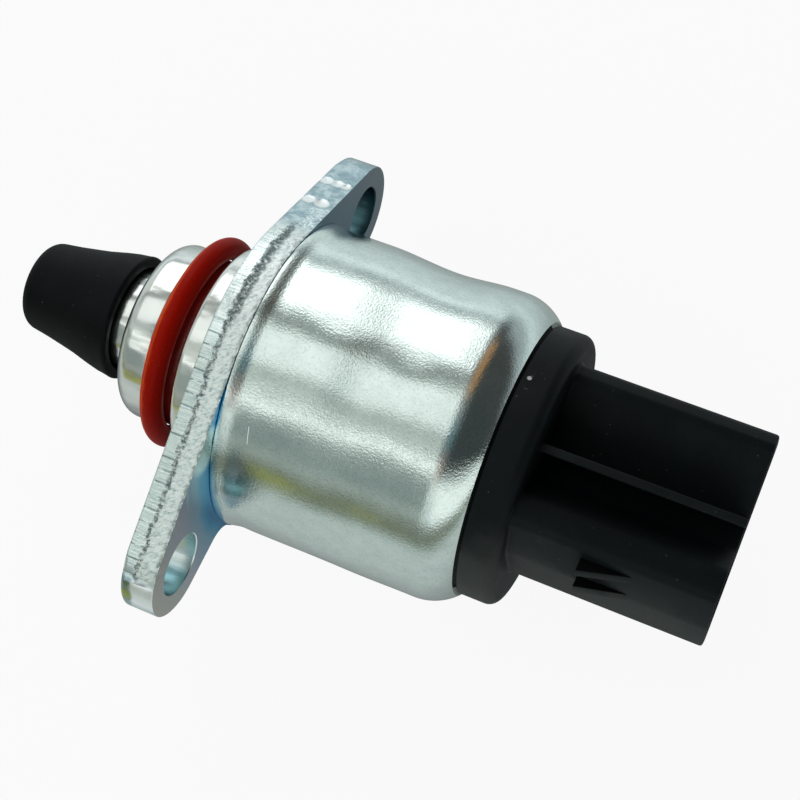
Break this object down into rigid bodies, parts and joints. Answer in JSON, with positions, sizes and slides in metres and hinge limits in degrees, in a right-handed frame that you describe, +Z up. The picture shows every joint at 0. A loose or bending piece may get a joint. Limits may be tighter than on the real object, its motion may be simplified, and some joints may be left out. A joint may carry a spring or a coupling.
{
  "type": "idle air control valve",
  "caption": "Flange-mounted stepper idle air valve with a round metal can, sealed nose, moving black pintle and a moulded plug socket.",
  "frame": {"origin": "middle of the two fixing holes, on the flange's mounting face", "axes": "+X along the valve from the pintle to the plug socket, Y through the two fixing holes, +Z up"},
  "size_m": [0.0825, 0.0566, 0.035],
  "materials": {
    "flange_steel": "zinc plated sheet steel with sheared edges",
    "nose_zinc": "turned and plated, semi-bright",
    "seal_orange": "smooth moulded rubber",
    "bush_plastic": "moulded",
    "bush_brass": "turned",
    "pintle_black": "moulded, slightly glossy",
    "spring_steel": "drawn wire and sheet",
    "screw_steel": "rolled and ground",
    "nut_plastic": "moulded",
    "magnet": "bonded ferrite",
    "can_steel": "deep drawn, bright plated",
    "pole_iron": "stamped soft iron",
    "bobbin_plastic": "moulded",
    "copper": "enamelled copper wire",
    "bearing_steel": "ground and polished",
    "cage_brass": "moulded",
    "cap_black": "glass filled, satin moulded",
    "seal_black": "moulded rubber",
    "terminal_tin": "tinned"
  },
  "bodies": {
    "housing": {"mounting_flange": "flange_steel", "nose_housing": "nose_zinc", "nose_seal": "seal_orange", "guide_bush": "bush_plastic", "front_bush": "bush_brass", "motor_can": "can_steel", "pole_cup_1": "pole_iron", "pole_cup_2": "pole_iron", "pole_cup_3": "pole_iron", "pole_cup_4": "pole_iron", "bobbin_front": "bobbin_plastic", "bobbin_rear": "bobbin_plastic", "winding_front": "copper", "winding_rear": "copper", "bearing_plate": "pole_iron", "bearing_outer_race": "bearing_steel", "preload_washer": "spring_steel", "connector_cap": "cap_black", "cap_seal": "seal_black", "terminal_1": "terminal_tin", "terminal_2": "terminal_tin", "terminal_3": "terminal_tin", "terminal_4": "terminal_tin"},
    "rotor": {"rotor_nut": "nut_plastic", "rotor_magnet": "magnet", "bearing_inner_race": "bearing_steel"},
    "ball_set": {"bearing_balls": "bearing_steel", "bearing_cage": "cage_brass"},
    "pintle": {"pintle": "pintle_black", "lead_screw": "screw_steel", "pintle_spring": "spring_steel"}
  },
  "joints": [
    {"name": "rotor_spin", "type": "hinge", "parent": "housing", "child": "rotor", "pos_m": [0.0135, 0.0019, -0.0019], "axis": [1, 0, 0], "range_deg": [0, 2880]},
    {"name": "ball_spin", "type": "hinge", "parent": "housing", "child": "ball_set", "pos_m": [0.0254, 0.0019, -0.0019], "axis": [1, 0, 0], "range_deg": [0, 1152]},
    {"name": "pintle_slide", "type": "slide", "parent": "housing", "child": "pintle", "axis": [-1, 0, 0], "range_m": [0, 0.008], "deforming": ["pintle_spring"]}
  ],
  "couplings": [
    {"joint": "pintle_slide", "follows": "rotor_spin", "m_per_rad": 0.00015915},
    {"joint": "ball_spin", "follows": "rotor_spin", "ratio": 0.4}
  ]
}
